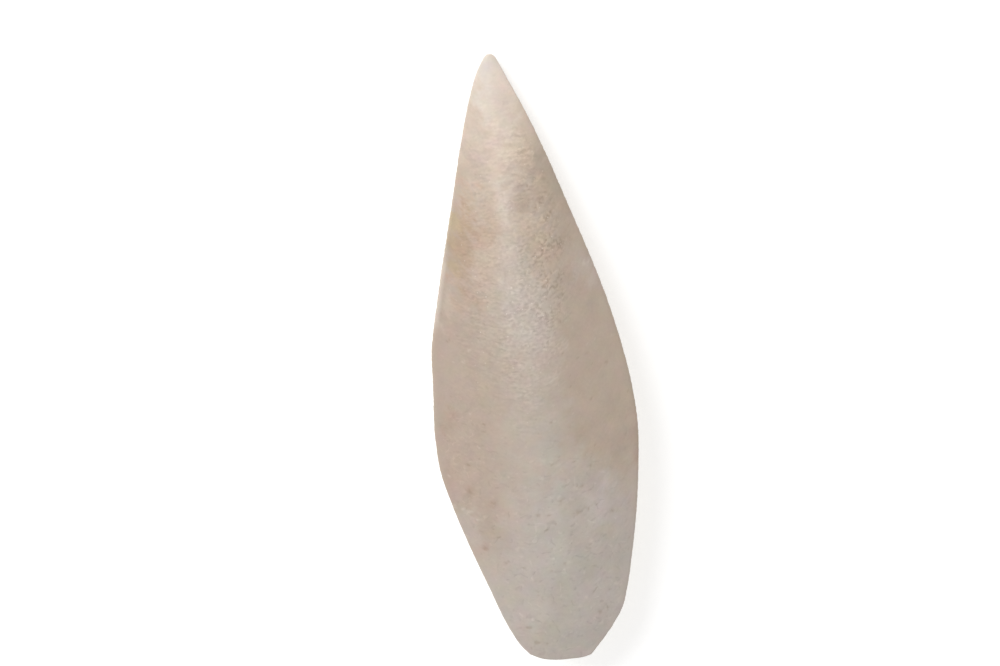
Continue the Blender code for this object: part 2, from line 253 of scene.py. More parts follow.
# Colours are linear. Each tint has a colour and oval patches, as (station, out, half length,
# half width, turn in degrees, softness, strength), and they are mixed in this order.
BASE_COLOUR = (0.535, 0.448, 0.376)
TINTS = {
    "cream_hind_end": (
        (0.690, 0.568, 0.472),
        [(140.0, 1.8, 30.0, 8.5, 0.0, 0.50, 1.0), (134.5, -6.0, 8.0, 3.5, 15.0, 0.50, 0.75),
         (113.5, -10.5, 4.0, 2.0, 15.0, 0.70, 0.6)],
    ),
    "pale_tip": (
        (0.806, 0.716, 0.622),
        [(152.0, 1.6, 17.0, 6.0, 0.0, 0.70, 0.95)],
    ),
    "rosy_tip": (
        (0.860, 0.715, 0.615),
        [(143.5, 2.4, 5.0, 2.2, -14.0, 0.70, 0.9), (133.0, 2.4, 9.0, 1.9, -8.0, 0.80, 0.4)],
    ),
    "blushed_left": (
        (0.492, 0.396, 0.326),
        [(64.0, -19.5, 33.0, 12.0, 2.0, 0.40, 1.0), (37.0, -14.0, 15.0, 6.0, -16.0, 0.45, 0.9),
         (92.0, -16.0, 16.0, 5.0, 15.0, 0.60, 0.5), (61.5, -10.0, 3.0, 4.0, 0.0, 0.80, 0.5)],
    ),
    "rosy_left": ((0.545, 0.405, 0.330), [(50.0, -18.5, 6.0, 3.5, 0.0, 0.70, 0.3)]),
    "frosted_front": (
        (0.545, 0.480, 0.430),
        [(6.0, 5.0, 26.0, 27.0, 0.0, 0.35, 1.0), (30.0, 9.0, 15.0, 16.0, 40.0, 0.45, 1.0),
         (34.0, -3.0, 8.0, 6.0, 0.0, 0.60, 0.5), (34.0, -18.0, 5.0, 2.5, -16.0, 0.60, 0.5)],
    ),
    "shaded_right": (
        (0.512, 0.414, 0.334),
        [(79.0, 20.3, 34.0, 12.5, 0.0, 0.16, 1.0), (108.0, 15.0, 21.0, 6.0, -17.0, 0.50, 0.95),
         (60.0, 20.0, 12.5, 10.0, 40.0, 0.14, 1.0), (118.0, 9.6, 7.5, 3.4, -17.0, 0.50, 1.0)],
    ),
    # A pale band down the rib: partly the chalk's own colour, partly a painted highlight along it.
    "pale_band_and_highlight": (
        (0.622, 0.536, 0.468),
        [(90.0, 2.0, 15.0, 5.2, -3.0, 0.60, 0.9), (106.0, 0.8, 10.0, 3.5, -3.0, 0.60, 0.2),
         (73.0, 2.0, 10.0, 4.0, 0.0, 0.60, 0.30), (77.0, 8.6, 3.0, 1.6, 0.0, 0.80, 0.35),
         (56.0, -1.0, 12.0, 6.0, 0.0, 0.70, 0.15)],
    ),
    "warm_middle": (
        (0.655, 0.540, 0.438),
        [(107.0, -3.5, 8.0, 6.5, 0.0, 0.60, 0.32)],
    ),
    "rosy_shoulder": (
        (0.640, 0.500, 0.390),
        [(120.5, -8.8, 4.0, 2.6, 15.0, 0.70, 0.30)],
    ),
    # Painted shade on the steep right flank, which faces away from the light.
    "painted_shade_right": (
        (0.455, 0.365, 0.290),
        [(115.5, 12.3, 8.0, 1.8, -17.0, 0.60, 0.7), (102.0, 13.6, 5.0, 2.0, -17.0, 0.70, 0.35)],
    ),
    "cool_tip": (
        (0.735, 0.680, 0.625),
        [(141.0, -2.2, 6.0, 2.6, 15.0, 0.95, 0.4)],
    ),
    "grey_tip": ((0.640, 0.600, 0.550), [(147.3, -1.5, 2.2, 1.8, 15.0, 0.95, 0.35)]),
    # Painted shade in the hollow beside the rib, darkest under its steep left wall and at its end.
    "hollow": (
        (0.520, 0.405, 0.310),
        [(112.6, 3.6, 2.6, 2.3, 0.0, 0.22, 0.38), (113.5, 7.4, 3.5, 3.0, 0.0, 0.60, 0.35)],
    ),
    # Painted light on the slopes about the hollow, lifting the shade that their relief casts.
    "painted_light_hollow_slopes": (
        (0.712, 0.574, 0.456),
        [(128.0, 4.0, 7.5, 2.2, -12.0, 0.70, 0.62), (119.5, 4.6, 4.0, 2.4, 0.0, 0.70, 0.35),
         (106.8, 4.0, 2.6, 3.4, 0.0, 0.70, 0.7), (133.0, 5.6, 6.0, 2.3, -17.0, 0.60, 0.5)],
    ),
    # Painted light on the rib's lit crest, beside the shaded hollow.
    "crest": (
        (0.705, 0.612, 0.528),
        [(114.0, -0.5, 5.0, 2.1, 5.0, 0.50, 0.60)],
    ),
    "hind_crest": (
        (0.765, 0.646, 0.548),
        [(132.0, 1.6, 6.2, 2.8, -4.0, 0.80, 0.9), (137.2, 2.6, 2.6, 2.0, 0.0, 0.80, 0.8)],
    ),
    "light_left": (
        (0.600, 0.490, 0.400),
        [(91.5, -17.2, 5.5, 1.6, 14.0, 0.70, 0.6), (37.5, -7.5, 7.0, 3.0, -16.0, 0.80, 0.35)],
    ),
    "tan_right": ((0.600, 0.470, 0.355), [(101.0, 6.5, 7.0, 3.5, 0.0, 0.60, 0.6)]),
    "lavender": (
        (0.580, 0.515, 0.472),
        [(35.0, 13.5, 4.5, 3.2, 20.0, 0.60, 0.8), (42.2, 16.2, 2.2, 1.8, 0.0, 0.80, 0.7),
         (95.5, 17.6, 4.0, 2.5, -17.0, 0.80, 0.35), (27.0, 3.0, 3.5, 3.5, 0.0, 0.80, 0.4),
         (8.0, 4.0, 2.0, 2.5, 0.0, 0.80, 0.4), (84.0, -1.0, 7.0, 3.0, 0.0, 0.80, 0.35),
         (38.0, 3.0, 5.0, 3.0, 10.0, 0.80, 0.4), (50.5, 1.0, 5.0, 4.0, 0.0, 0.80, 0.25),
         (13.7, 14.3, 3.0, 1.5, 0.0, 0.80, 0.7)],
    ),
    "mossy": (
        (0.500, 0.440, 0.370),
        [(41.5, 12.8, 2.2, 1.8, 0.0, 0.70, 0.6), (14.0, 1.5, 5.0, 3.0, 0.0, 0.80, 0.5),
         (27.0, 8.5, 3.5, 3.0, 0.0, 0.80, 0.5), (29.0, 15.0, 2.5, 2.5, 0.0, 0.80, 0.6),
         (37.2, 7.8, 3.0, 3.0, 0.0, 0.80, 0.7), (17.4, -10.4, 3.0, 3.0, 0.0, 0.80, 0.5),
         (6.5, -4.0, 2.5, 5.0, 0.0, 0.80, 0.5), (55.5, 4.3, 3.0, 3.0, 0.0, 0.80, 0.35),
         (22.0, 9.3, 2.0, 2.0, 0.0, 0.80, 0.5)],
    ),
    "sage": (
        (0.512, 0.488, 0.425),
        [(53.0, 3.2, 8.5, 2.6, 0.0, 0.80, 0.4), (17.0, 3.5, 13.0, 6.5, 0.0, 0.60, 0.3)],
    ),
    "warm_left": ((0.635, 0.470, 0.355), [(102.0, -9.0, 13.0, 5.0, 10.0, 0.60, 0.30)]),
    "stain": (
        (0.485, 0.355, 0.262),
        [(105.0, -12.0, 9.0, 2.7, 10.0, 0.85, 1.0), (102.0, -13.5, 7.0, 2.6, 12.0, 0.70, 0.35),
         (91.0, -12.0, 2.6, 3.0, 0.0, 0.85, 0.35), (105.7, -8.0, 2.4, 4.0, 0.0, 0.85, 0.4),
         (110.5, -4.6, 5.0, 2.0, 0.0, 0.85, 0.22)],
    ),
    "yellow_stain": (
        (0.560, 0.440, 0.300),
        [(109.2, -13.6, 3.0, 1.4, 0.0, 0.80, 0.7), (98.6, -14.4, 2.2, 1.1, 0.0, 0.80, 0.3)],
    ),
    "rust": (
        (0.450, 0.318, 0.250),
        [(62.2, -20.3, 2.6, 1.5, 20.0, 0.80, 0.35), (29.5, -15.2, 0.9, 0.9, 0.0, 0.80, 0.35),
         (40.2, -11.5, 1.0, 1.0, 0.0, 0.80, 0.4), (43.6, -17.2, 1.4, 1.4, 0.0, 0.80, 0.25),
         (50.5, 24.8, 5.0, 1.2, 0.0, 0.80, 0.3)],
    ),
}
# Tints of the bead, the underside and the outer cone, mixed in after the patches. The bead's tint is a
# painted highlight on the left rim's edge; it starts and is full at these distances from the rim, and it
# keeps to the left side.
FORM_TINTS = {
    "bead": (0.620, 0.525, 0.450),
    "underside": (0.720, 0.680, 0.610),
    "cone": (0.600, 0.520, 0.430),
}
BEAD_TINT_STATIONS = (82.0, 88.0, 98.0, 104.0)
BEAD_TINT_REACH = (1.1, 0.5)
LEFT_SIDES = (0.0, -0.1)
# Tints of small features, each with its strength.
SMALL_TINTS = {
    "furrow": ((0.250, 0.175, 0.110), 0.34),
    "speck": ((0.300, 0.220, 0.150), 0.35),
    "fleck": ((0.740, 0.640, 0.550), 0.35),
}
# Sparkles, painted highlights as light dots on the grain: how far apart they are, their radius, the
# share of them that is kept and the share of the radius within which a dot is full.
SPARKLE_TINT = (0.950, 0.870, 0.780)
SPARKLE_STRENGTH = 0.5
SPARKLE_SPACING = 2.2
SPARKLE_RADIUS = 0.2
SPARKLES_KEPT = 0.25
SPARKLE_CORE = 0.4

# The material's noises, as (size in millimetres, detail, roughness, how far drawn out across).
MOTTLE_NOISE = (4.0, 3.0)
FINE_NOISE = (0.7, 2.0)
CRUMB_NOISE = (0.6, 1.0, 0.5, 1.5)
CHALK_NOISE = (0.35, 3.0, 0.6)
SHEEN_NOISE = (2.0, 2.0)
# A noise's middle, how far it commonly swings from that, and the values between which tones change.
NOISE_MIDDLE = 0.5
NOISE_SWING = 0.2
NOISE_LEVELS = (0.3, 0.7)
CRUMB_LEVELS = (0.25, 0.75)
RELIEF_LEVELS = (-1.0, 1.0)
# By what share each makes the skin darker and lighter.
MOTTLE_TONE = 0.025
FINE_TONE = 0.02
# The grain's tone is painted shade in its furrows and painted light on its crests, marks and folds.
GRAIN_SHADE_AND_LIGHT = 0.09
# The crumbs' tone is painted light where they rise and painted shade where they sink.
CRUMB_SHADE_AND_LIGHT = 0.08
STRIA_TONE = 0.05
# Slow changes of hue, as (size in millimetres, share).
HUE_SWINGS = [(3.2, 0.021), (8.0, 0.008)]
HUE_DETAIL = 1.5
# Thin strokes of colour, as (distance between their lines and size of their gaps in millimetres,
# a shift that sets the kinds apart, how rare they are, the mask they keep to, their lightness).
STROKES = {
    # The grooves' darkening is painted shade and the ridges' lightening painted highlight; both are bumped
    # too.
    "shaded_grooves": (3.4, 1.5, 0.4, 0.55, "marked", 0.92),
    "lit_ridges": (3.6, 1.5, 1.7, 0.60, "marked", 1.10),
    "lace": (1.8, 1.1, 2.9, 0.55, "flaky", 1.10),
}
STROKE_ACROSS = 1.3
STROKE_WIDTH = 0.06
STROKE_FADE = 0.07
STROKE_SHIFT = 0.8
# The depth of the bump in millimetres, and how much more crumbs and strokes count in it than chalk.
BUMP_DEPTH = 0.017
CRUMB_BUMP = 2.0
STROKE_BUMP = 2.5
ROUGHNESS = (0.82, 0.95)
SPECULAR = 0.25

# The floor and the light, in metres and watts. The floor lies a little below the shell.
FLOOR_SIZE = 4.0
FLOOR_HEIGHT = -0.0001
FLOOR_LOOK = {
    "Base Color": (0.9, 0.9, 0.9, 1.0),
    "Emission Color": (1.0, 1.0, 1.0, 1.0),
    "Emission Strength": 0.36,
    "Roughness": 0.9,
    "Specular IOR Level": 0.1,
}
SKY_LOOK = {"Color": (1.0, 1.0, 1.0, 1.0), "Strength": 0.62}
SOFTBOX_SIZE = 2.0
SOFTBOX_POWER = 27.0
SOFTBOX_PLACE = (-1.3, 1.1, 1.5)

# The camera's frame: the width that it spans at the height of the rim, which is taken at one
# station, the place under its middle and its turn. Lengths are in millimetres.
FRAME_WIDTH = 245.42
FRAME_STATION = 60.0
FRAME_MIDDLE = (-6.12, 6.5)
FRAME_ROLL = math.radians(6.72)
CAMERA_HEIGHT = 3000.0
SENSOR_WIDTH = 36.0
CLIPPING = (100.0, 20000.0)


def through(knots, at):
    """Values, at the given places, of the smooth curve that passes through the knots."""
    place, value = np.array(knots, float).T
    gap = np.diff(place)
    slope = np.diff(value) / gap
    inner = (slope[:-1] * gap[1:] + slope[1:] * gap[:-1]) / (gap[:-1] + gap[1:])
    tangent = np.concatenate((slope[:1], inner, slope[-1:]))
    i = np.clip(np.searchsorted(place, at) - 1, 0, len(gap) - 1)
    t = np.clip((at - place[i]) / gap[i], 0.0, 1.0)
    rise = (3.0 - 2.0 * t) * t * t
    lean_in = t * (1.0 - t) ** 2 * gap[i] * tangent[i]
    lean_out = t * t * (1.0 - t) * gap[i] * tangent[i + 1]
    return value[i] * (1.0 - rise) + value[i + 1] * rise + lean_in - lean_out


def ramp(at, start, end):
    """0 at start, 1 at end, smooth between them."""
    t = np.clip((at - start) / (end - start), 0.0, 1.0)
    return t * t * (3.0 - 2.0 * t)


def stretch(at, stations):
    """1 between the two middle stations, fading to 0 at the outer two."""
    first, full, last, gone = stations
    return ramp(at, first, full) * ramp(at, gone, last)


def hump(distance, half_width):
    """A rounded ridge's height as a share of its crest, at a distance from it."""
    return np.exp(-((distance / half_width) ** 2))


def plan(growth, side):
    """Station, out and half width at points on growth lines."""
    front_out = FRONT_EDGE[0][0] + (FRONT_EDGE[-1][0] - FRONT_EDGE[0][0]) * (side + 1.0) / 2.0
    fade = ramp(growth, FRONT_FADE, 0.0)
    bow = through(GROWTH_BOW, growth)
    station = growth + bow * side**2 + through(FRONT_EDGE, front_out) * fade
    right = through(RIGHT_EDGE, growth + bow + FRONT_EDGE[-1][1] * fade)
    left = through(LEFT_EDGE, growth + bow + FRONT_EDGE[0][1] * fade)
    half_width = (right - left) / 2.0
    return station, (right + left) / 2.0 + side * half_width, half_width


def rim_thickness(station, out):
    """Thin all round, and thicker where the front right corner is broken off."""
    from_break = np.hypot(station - BREAK_STATION, out - BREAK_OUT)
    return RIM_THICKNESS + (BREAK_THICKNESS - RIM_THICKNESS) * hump(from_break, BREAK_REACH)


def shield_relief(growth, station, out, side, half_width):
    """The rib, the hollow beside it, the growth waves and the bead along the left rim."""
    from_rib = out - through(RIB_OUT, station)
    rib = through(RIB_HEIGHT, station) * hump(from_rib, through(RIB_HALF_WIDTH, station))
    hollow = HOLLOW_DEPTH * stretch(out, HOLLOW_OUTS) * stretch(station, HOLLOW_STATIONS)
    wave = WAVE_HEIGHT * np.cos(2.0 * math.pi * growth / WAVE_LENGTH)
    bead = BEAD_HEIGHT * hump((1.0 + side) * half_width, BEAD_WIDTH) * stretch(station, BEAD_STATIONS)
    inside = 1.0 - ramp(np.abs(side), SHIELD_MARGIN, 1.0)
    return (rib - hollow + wave) * inside + bead


def shield_height(growth, station, out, side, half_width):
    """Height of the shield above the middle of the rim's wall."""
    arch = through(SHIELD_ARCH, growth) * (1.0 - np.abs(side) ** SHIELD_ROUNDNESS)
    return arch + shield_relief(growth, station, out, side, half_width) * stretch(growth, END_FADES)


def underside_relief(growth, station, out, side, half_width, body_share):
    """How far the underside's ledge, steps and groove lie inside the smooth body."""
    ledge = LEDGE_HEIGHT * ramp(growth, LAST_CHAMBER, LAST_CHAMBER + LEDGE_RUN)
    turn = (growth - LAST_CHAMBER) / STEP_LENGTH
    turn -= np.floor(turn)
    tooth = np.minimum(turn / (1.0 - STEP_DROP), (1.0 - turn) / STEP_DROP)
    steps = STEP_HEIGHT * tooth * ramp(growth, LAST_CHAMBER, LAST_CHAMBER + STEP_LENGTH)
    groove = GROOVE_DEPTH * hump(out, GROOVE_HALF_WIDTH) * stretch(station, GROOVE_STATIONS)
    from_body_edge = (np.abs(side) - body_share) * half_width
    ridge = CONE_RIDGE_HEIGHT * hump(from_body_edge, CONE_RIDGE_HALF_WIDTH)
    ridge *= stretch(station, CONE_RIDGE_STATIONS)
    inside = 1.0 - ramp(np.abs(side) / body_share, BODY_MARGIN, 1.0)
    return (ledge + steps + groove) * inside - ridge


def underside_depth(growth, station, out, side, half_width):
    """Depth of the underside below the middle of the rim's wall."""
    body_share = through(BODY_SHARE, station)
    within = np.clip(np.abs(side) / body_share, 0.0, 1.0)
    body = through(BODY_DEPTH, growth) * (1.0 - within**BODY_ROUNDNESS) ** BODY_FULLNESS
    cone = CONE_SLOPE * (1.0 - side**2) / 2.0 * half_width
    relief = underside_relief(growth, station, out, side, half_width, body_share)
    return cone + body - relief * stretch(growth, END_FADES)


def random_field(rng, humps, evening=0.0):
    """Random relief of unit spread over the shell: its rows go along the shell, its columns across.

    Its strength can be evened out over a distance of so many of its humps' half lengths.
    """
    long, short = humps
    shape = (int(FIELD_LENGTH / FIELD_CELL), int(FIELD_WIDTH / FIELD_CELL))
    waves = np.fft.rfft2(rng.standard_normal(shape))
    along = np.fft.fftfreq(shape[0], FIELD_CELL)[:, None]
    across = np.fft.rfftfreq(shape[1], FIELD_CELL)[None, :]
    size = 2.0 * math.pi**2 * ((along * short) ** 2 + (across * long) ** 2)
    field = np.fft.irfft2(waves * (np.exp(-size) - np.exp(-size * WIDER_BLUR**2)), shape)
    if evening:
        spread = np.fft.irfft2(np.fft.rfft2(field**2) * np.exp(-size * evening**2), shape)
        field /= np.sqrt(spread + EVENING_FLOOR * spread.mean())
    return field / field.std()


def read_field(field, along, out):
    """The field's values at points of the shell, read between its cells."""
    rows, columns = field.shape
    row = along / FIELD_CELL
    column = (out + FIELD_WIDTH / 2.0) / FIELD_CELL
    i = np.floor(row).astype(int)
    j = np.floor(column).astype(int)
    s = row - i
    t = column - j
    front = field[i % rows, j % columns] * (1.0 - t) + field[i % rows, (j + 1) % columns] * t
    back = field[(i + 1) % rows, j % columns] * (1.0 - t) + field[(i + 1) % rows, (j + 1) % columns] * t
    return front * (1.0 - s) + back * s


def numbered_block():
    """Numbers of the points on a block's six sides, by row, column and wall row, and their places.

    The lower side keeps only every few columns' points, except along its edges.
    """
    number = np.full((ROWS + 1, COLUMNS + 1, WALL_ROWS + 1), -1)
    surface = np.ones(number.shape, bool)
    surface[1:-1, 1:-1, 1:-1] = False
    surface[1:-1, 1:-1, 0] = False
    surface[1:-1, ::UNDERSIDE_STRIDE, 0] = True
    number[surface] = np.arange(surface.sum())
    return number, np.argwhere(surface)


def grid_faces(number):
    """Four-sided faces between neighbouring points of a grid."""
    corners = (number[:-1, :-1], number[1:, :-1], number[1:, 1:], number[:-1, 1:])
    return np.stack(corners, axis=-1).reshape(-1, 4).tolist()


def end_faces(edge, row):
    """Faces between an end edge of the lower side, which has all columns' points, and the next row."""
    faces = []
    for start in range(0, COLUMNS, UNDERSIDE_STRIDE):
        stop = start + UNDERSIDE_STRIDE
        faces.append([row[start], row[stop], *edge[start : stop + 1][::-1]])
    return faces


def block_faces(number):
    """Faces over the block's six sides, facing out."""
    below = number[:, :, 0]
    faces = grid_faces(number[:, :, -1].T)
    faces += grid_faces(below[1:-1, ::UNDERSIDE_STRIDE])
    faces += end_faces(below[0].tolist(), below[1].tolist())
    faces += [face[::-1] for face in end_faces(below[-1].tolist(), below[-2].tolist())]
    faces += grid_faces(number[:, -1, :])
    faces += grid_faces(number[:, 0, :].T)
    faces += grid_faces(number[0, :, :])
    faces += grid_faces(number[-1, :, :].T)
    return faces


def patch_cover(station, out, waver, patches):
    """How strongly ragged ovals cover points of the shell together, from 0 to 1."""
    bare = np.ones_like(out)
    for at_station, at_out, half_length, half_width, turn, softness, strength in patches:
        cosine = math.cos(math.radians(turn))
        sine = math.sin(math.radians(turn))
        along = (station - at_station) * cosine + (out - at_out) * sine
        across = (out - at_out) * cosine - (station - at_station) * sine
        distance = np.hypot(along / half_length, across / half_width) + waver / min(half_length, half_width)
        bare *= 1.0 - strength * ramp(distance, 1.0 + softness, 1.0 - softness)
    return 1.0 - bare


def spots_cover(rng, station, out, waver, spots):
    """Irregular spots, each 1 at its middle and drawn out one way."""
    cover = np.zeros_like(out)
    for at_station, at_out, radius in spots:
        length = rng.uniform(*SPOT_STRETCH)
        turn = rng.normal(0.0, SPOT_TURN)
        reach = SPOT_REACH * radius
        near = np.flatnonzero((np.abs(station - at_station) < reach) & (np.abs(out - at_out) < reach))
        ahead = station[near] - at_station
        aside = out[near] - at_out
        along = (aside * math.cos(turn) + ahead * math.sin(turn)) / length
        across = (ahead * math.cos(turn) - aside * math.sin(turn)) * length
        distance = np.hypot(along, across) * (1.0 + SPOT_RAGGEDNESS * waver[near])
        cover[near] = np.maximum(cover[near], hump(distance, radius))
    return cover


def scattered(rng, count):
    """Spots scattered over the shell, more of them small than large."""
    stations = rng.uniform(*SPOT_STATIONS, count)
    outs = rng.uniform(*SPOT_OUTS, count)
    smallest, largest = SPOT_RADII
    radii = smallest + (largest - smallest) * rng.random(count) ** 2
    return list(zip(stations, outs, radii))


def folds_relief(station, out):
    """Narrow ridges along the folds, each 1 at its crest."""
    relief = np.zeros_like(out)
    for start, end in FOLDS:
        run = np.subtract(end, start)
        share = ((station - start[0]) * run[0] + (out - start[1]) * run[1]) / (run @ run)
        share = np.clip(share, 0.0, 1.0)
        distance = np.hypot(station - start[0] - share * run[0], out - start[1] - share * run[1])
        relief = np.maximum(relief, hump(distance, FOLD_HALF_WIDTH))
    return relief


class Skin:
    """Random fine relief and the masks of the colours, at points of the shell."""

    def __init__(self, growth, station, out, side, half_width):
        self.rng = np.random.default_rng(SEED)
        self.growth = growth
        self.station = station
        self.out = out
        self.side = side
        self.from_rim = (1.0 - np.abs(side)) * half_width
        self.inside = ramp(self.from_rim, *RIM_FADE)
        self.waver = self.field(WAVER_HUMPS)
        self.broad = self.field(BROAD_HUMPS)
        self.fine = self.field(FINE_HUMPS)

    def field(self, humps, along=None, out=None, evening=0.0):
        """Random relief, read along growth lines unless other places are given."""
        values = random_field(self.rng, humps, evening)
        along = self.growth if along is None else along
        out = self.out if out is None else out
        return read_field(values, along, out)

    def wavered(self, places, wavers):
        """Places along or across the shell, shifted at random by each of the wavers."""
        for distance, humps in wavers:
            places = places + distance * self.field(humps)
        return places

    def cover(self, patches):
        """How strongly the patches cover the skin together, from 0 to 1."""
        waver = PATCH_WAVER * self.waver + PATCH_FINE_WAVER * self.fine
        return patch_cover(self.station, self.out, waver, patches)

    def spots(self, placed, more):
        """How strongly spots cover the skin: the placed ones and so many more, scattered ones."""
        spots = placed + scattered(self.rng, more)
        return spots_cover(self.rng, self.station, self.out, self.fine, spots)

    def ripple_share(self):
        """How much of the grain is ripples and not curls, from 0 to 1."""
        left = LEFT_RIPPLES * ramp(self.out, *LEFT_RIPPLE_OUTS)
        behind = HIND_RIPPLES * ramp(self.station, *HIND_RIPPLE_STATIONS)
        ahead = FRONT_RIPPLES * ramp(self.station, *FRONT_RIPPLE_STATIONS)
        return LEAST_RIPPLES + np.maximum(left, np.maximum(behind, ahead))

    def wrinkles(self):
        """Short curled wrinkles that pass into longer ripples, from -1 to 1."""
        arch = through(GRAIN_ARCHING, self.station) * through(GRAIN_ARCH, np.abs(self.out))
        arch *= np.where(self.out < 0.0, LEFT_ARCHING, 1.0)
        arch -= GRAIN_TILT * self.out * ramp(self.station, *TILTED_STATIONS)
        along = self.wavered(self.station - arch, GRAIN_WAVERS)
        out = self.wavered(self.out, GRAIN_WAVERS)
        curls = self.field(CURL_HUMPS, along, out, GRAIN_EVENING)
        ripples = self.field(RIPPLE_HUMPS, along, out, GRAIN_EVENING)
        share = self.ripple_share()
        blend = (share * ripples + (1.0 - share) * curls) / np.hypot(share, 1.0 - share)
        return np.tanh(GRAIN_SHARPNESS * blend)

    def sparse_marks(self):
        """Scattered short creases and pimples, from -1 to 1."""
        along = self.wavered(self.growth, MARK_WAVERS)
        out = self.wavered(self.out, MARK_WAVERS)
        marks = self.field(MARK_HUMPS, along, out)
        return ramp(marks, *PIMPLE_LEVELS) - ramp(marks, *CREASE_LEVELS)

    def shield(self):
        """Relief of the shield, downwards only. It also sets the masks that go with it."""
        strength = BARE_GRAIN + (1.0 - BARE_GRAIN) * self.cover(GRAIN_PATCHES)
        patchiness = GRAIN_PATCHINESS * self.broad + GRAIN_PATCHINESS * self.field(PATCHINESS_HUMPS)
        strength = strength * self.inside * np.clip(1.0 + patchiness, *PATCHINESS_LIMITS)
        grain = self.wrinkles() * strength
        marked = self.cover(MARK_PATCHES) * self.inside
        marks = self.sparse_marks() * marked
        folds = folds_relief(self.station, self.out) * self.inside
        flaky = self.cover(FLAKE_PATCHES) * self.inside
        scales = ramp(self.field(SCALE_HUMPS), *SCALE_LEVELS)
        specks = self.spots(PITS, MORE_PITS)
        self.shield_masks = {
            # The grain's height with its marks and folds; the colour follows it as painted shade and light.
            "grain": np.clip(grain + MARK_SHADE_AND_LIGHT * marks + FOLD_PAINTED_LIGHT * folds, -1.0, 1.0),
            "rough": np.clip(strength, 0.0, MOST_ROUGH),
            "furrow": ramp(-grain, *FURROW_LEVELS) * self.cover(DARKENED_FURROW_PATCHES),
            "marked": marked,
            "flaky": flaky,
            "speck": specks,
            "fleck": self.spots(FLECKS, MORE_FLECKS),
        }
        uneven = (np.tanh(self.broad) - 1.0) * self.inside
        lowered = self.inside * stretch(self.station, FOLD_STATIONS)
        relief = GRAIN_DEPTH * (grain - strength) / 2.0 + MARK_DEPTH * (marks - self.inside) / 2.0
        relief += FOLD_HEIGHT * (folds - lowered)
        relief -= FLAKE_DEPTH * flaky * (1.0 - scales) + PIT_DEPTH * specks * self.inside
        return relief + UNEVENNESS * uneven

    def underside(self):
        """Relief of the underside, inwards only. It also sets the masks that go with it."""
        coarse = np.tanh(self.field(COARSE_HUMPS))
        waver = STRIA_WAVER * self.field(STRIA_WAVER_HUMPS)
        pores = np.tanh(self.field(PORE_HUMPS))
        wave = np.cos(2.0 * math.pi * (self.growth / STRIA_LENGTH + waver))
        start, full = STRIA_START
        striated = ramp(self.growth, LAST_CHAMBER + start, LAST_CHAMBER + full) * self.inside
        striae = striated * (1.0 - STRIA_VARIATION + STRIA_VARIATION * coarse) * wave
        share = through(BODY_SHARE, self.station)
        start, full = CONE_FADE
        cone = ramp(np.abs(self.side), share + start, share + full)
        self.underside_masks = {"stria": striae, "cone": cone}
        relief = STRIA_HEIGHT * (striae - striated) / 2.0
        relief += COARSE_DEPTH * (coarse - 1.0) * self.inside
        return relief + PORE_DEPTH * (pores - 1.0) * self.inside

    def masks(self, top):
        """Every mask by its name: those of the shield are 0 on the underside and the other way round."""
        masks = {}
        for name, (tint, patches) in TINTS.items():
            masks[name] = np.where(top, self.cover(patches), 0.0)
        for name, values in self.shield_masks.items():
            masks[name] = np.where(top, values, 0.0)
        # The bead's painted highlight along the left rim.
        at_left_rim = ramp(self.from_rim, *BEAD_TINT_REACH) * ramp(self.side, *LEFT_SIDES)
        masks["bead"] = at_left_rim * stretch(self.station, BEAD_TINT_STATIONS)
        masks["underside"] = np.where(top, 0.0, 1.0)
        for name, values in self.underside_masks.items():
            masks[name] = np.where(top, 0.0, values)
        return masks


def rim_bite(station, out, side, half_width):
    """How far chips bite into the rim, as a share of the half width."""
    chips = random_field(np.random.default_rng(SEED + 1), NICK_HUMPS)
    chipped = 0.5 + 0.5 * np.tanh(read_field(chips, station, NICK_OUT * np.sign(side)))
    broken = hump(np.hypot(station - BREAK_STATION, out - BREAK_OUT), BREAK_REACH)
    depth = NICK_DEPTH + (BREAK_NICK_DEPTH - NICK_DEPTH) * broken
    bite = chipped * depth * ramp(np.abs(side), *NICK_SIDES)
    return bite * ramp(half_width, *NICK_HALF_WIDTHS) / half_width


def shell_points(place):
    """Points of the shell, in metres, and their masks, for places on the block."""
    along = place[:, 0] / ROWS
    across = 2.0 * place[:, 1] / COLUMNS - 1.0
    wall_angle = (place[:, 2] / WALL_ROWS - 0.5) * math.pi
    at_top = place[:, 2] == WALL_ROWS
    at_bottom = place[:, 2] == 0
    inset = EDGE_ROUNDING * (1.0 - np.cos(wall_angle))
    growth = inset + along * (LENGTH - 2.0 * inset)
    station, out, half_width = plan(growth, across)
    side = across * (1.0 - inset / half_width - rim_bite(station, out, across, half_width))
    station, out, half_width = plan(growth, side)
    skin = Skin(growth, station, out, side, half_width)
    above = shield_height(growth, station, out, side, half_width) + skin.shield()
    below = -underside_depth(growth, station, out, side, half_width) - skin.underside()
    wall = rim_thickness(station, out) / 2.0 * np.sin(wall_angle)
    height = through(RIM_HEIGHT, station) + wall
    height += np.where(at_top, above, 0.0) + np.where(at_bottom, below, 0.0)
    height = np.maximum(height, 0.0)
    points = np.column_stack((out, station, height))
    middle = (points.min(axis=0) + points.max(axis=0)) / 2.0
    middle[2] = 0.0
    return (points - middle) * MM, skin.masks(wall_angle > 0.0)


def add_attribute(mesh, name, values):
    """A mask as numbers on the mesh's points, which the material reads by its name."""
    attribute = mesh.attributes.new(name, "FLOAT", "POINT")
    attribute.data.foreach_set("value", values.astype(np.float32))


def make_shell():
    """The whole shell as one closed mesh."""
    number, place = numbered_block()
    points, masks = shell_points(place.astype(float))
    mesh = bpy.data.meshes.new("cuttlebone_shell")
    mesh.from_pydata(points.tolist(), [], block_faces(number))
    mesh.shade_smooth()
    for name, values in masks.items():
        add_attribute(mesh, name, values)
    shell = bpy.data.objects.new("cuttlebone_shell", mesh)
    bpy.context.collection.objects.link(shell)
    return shell


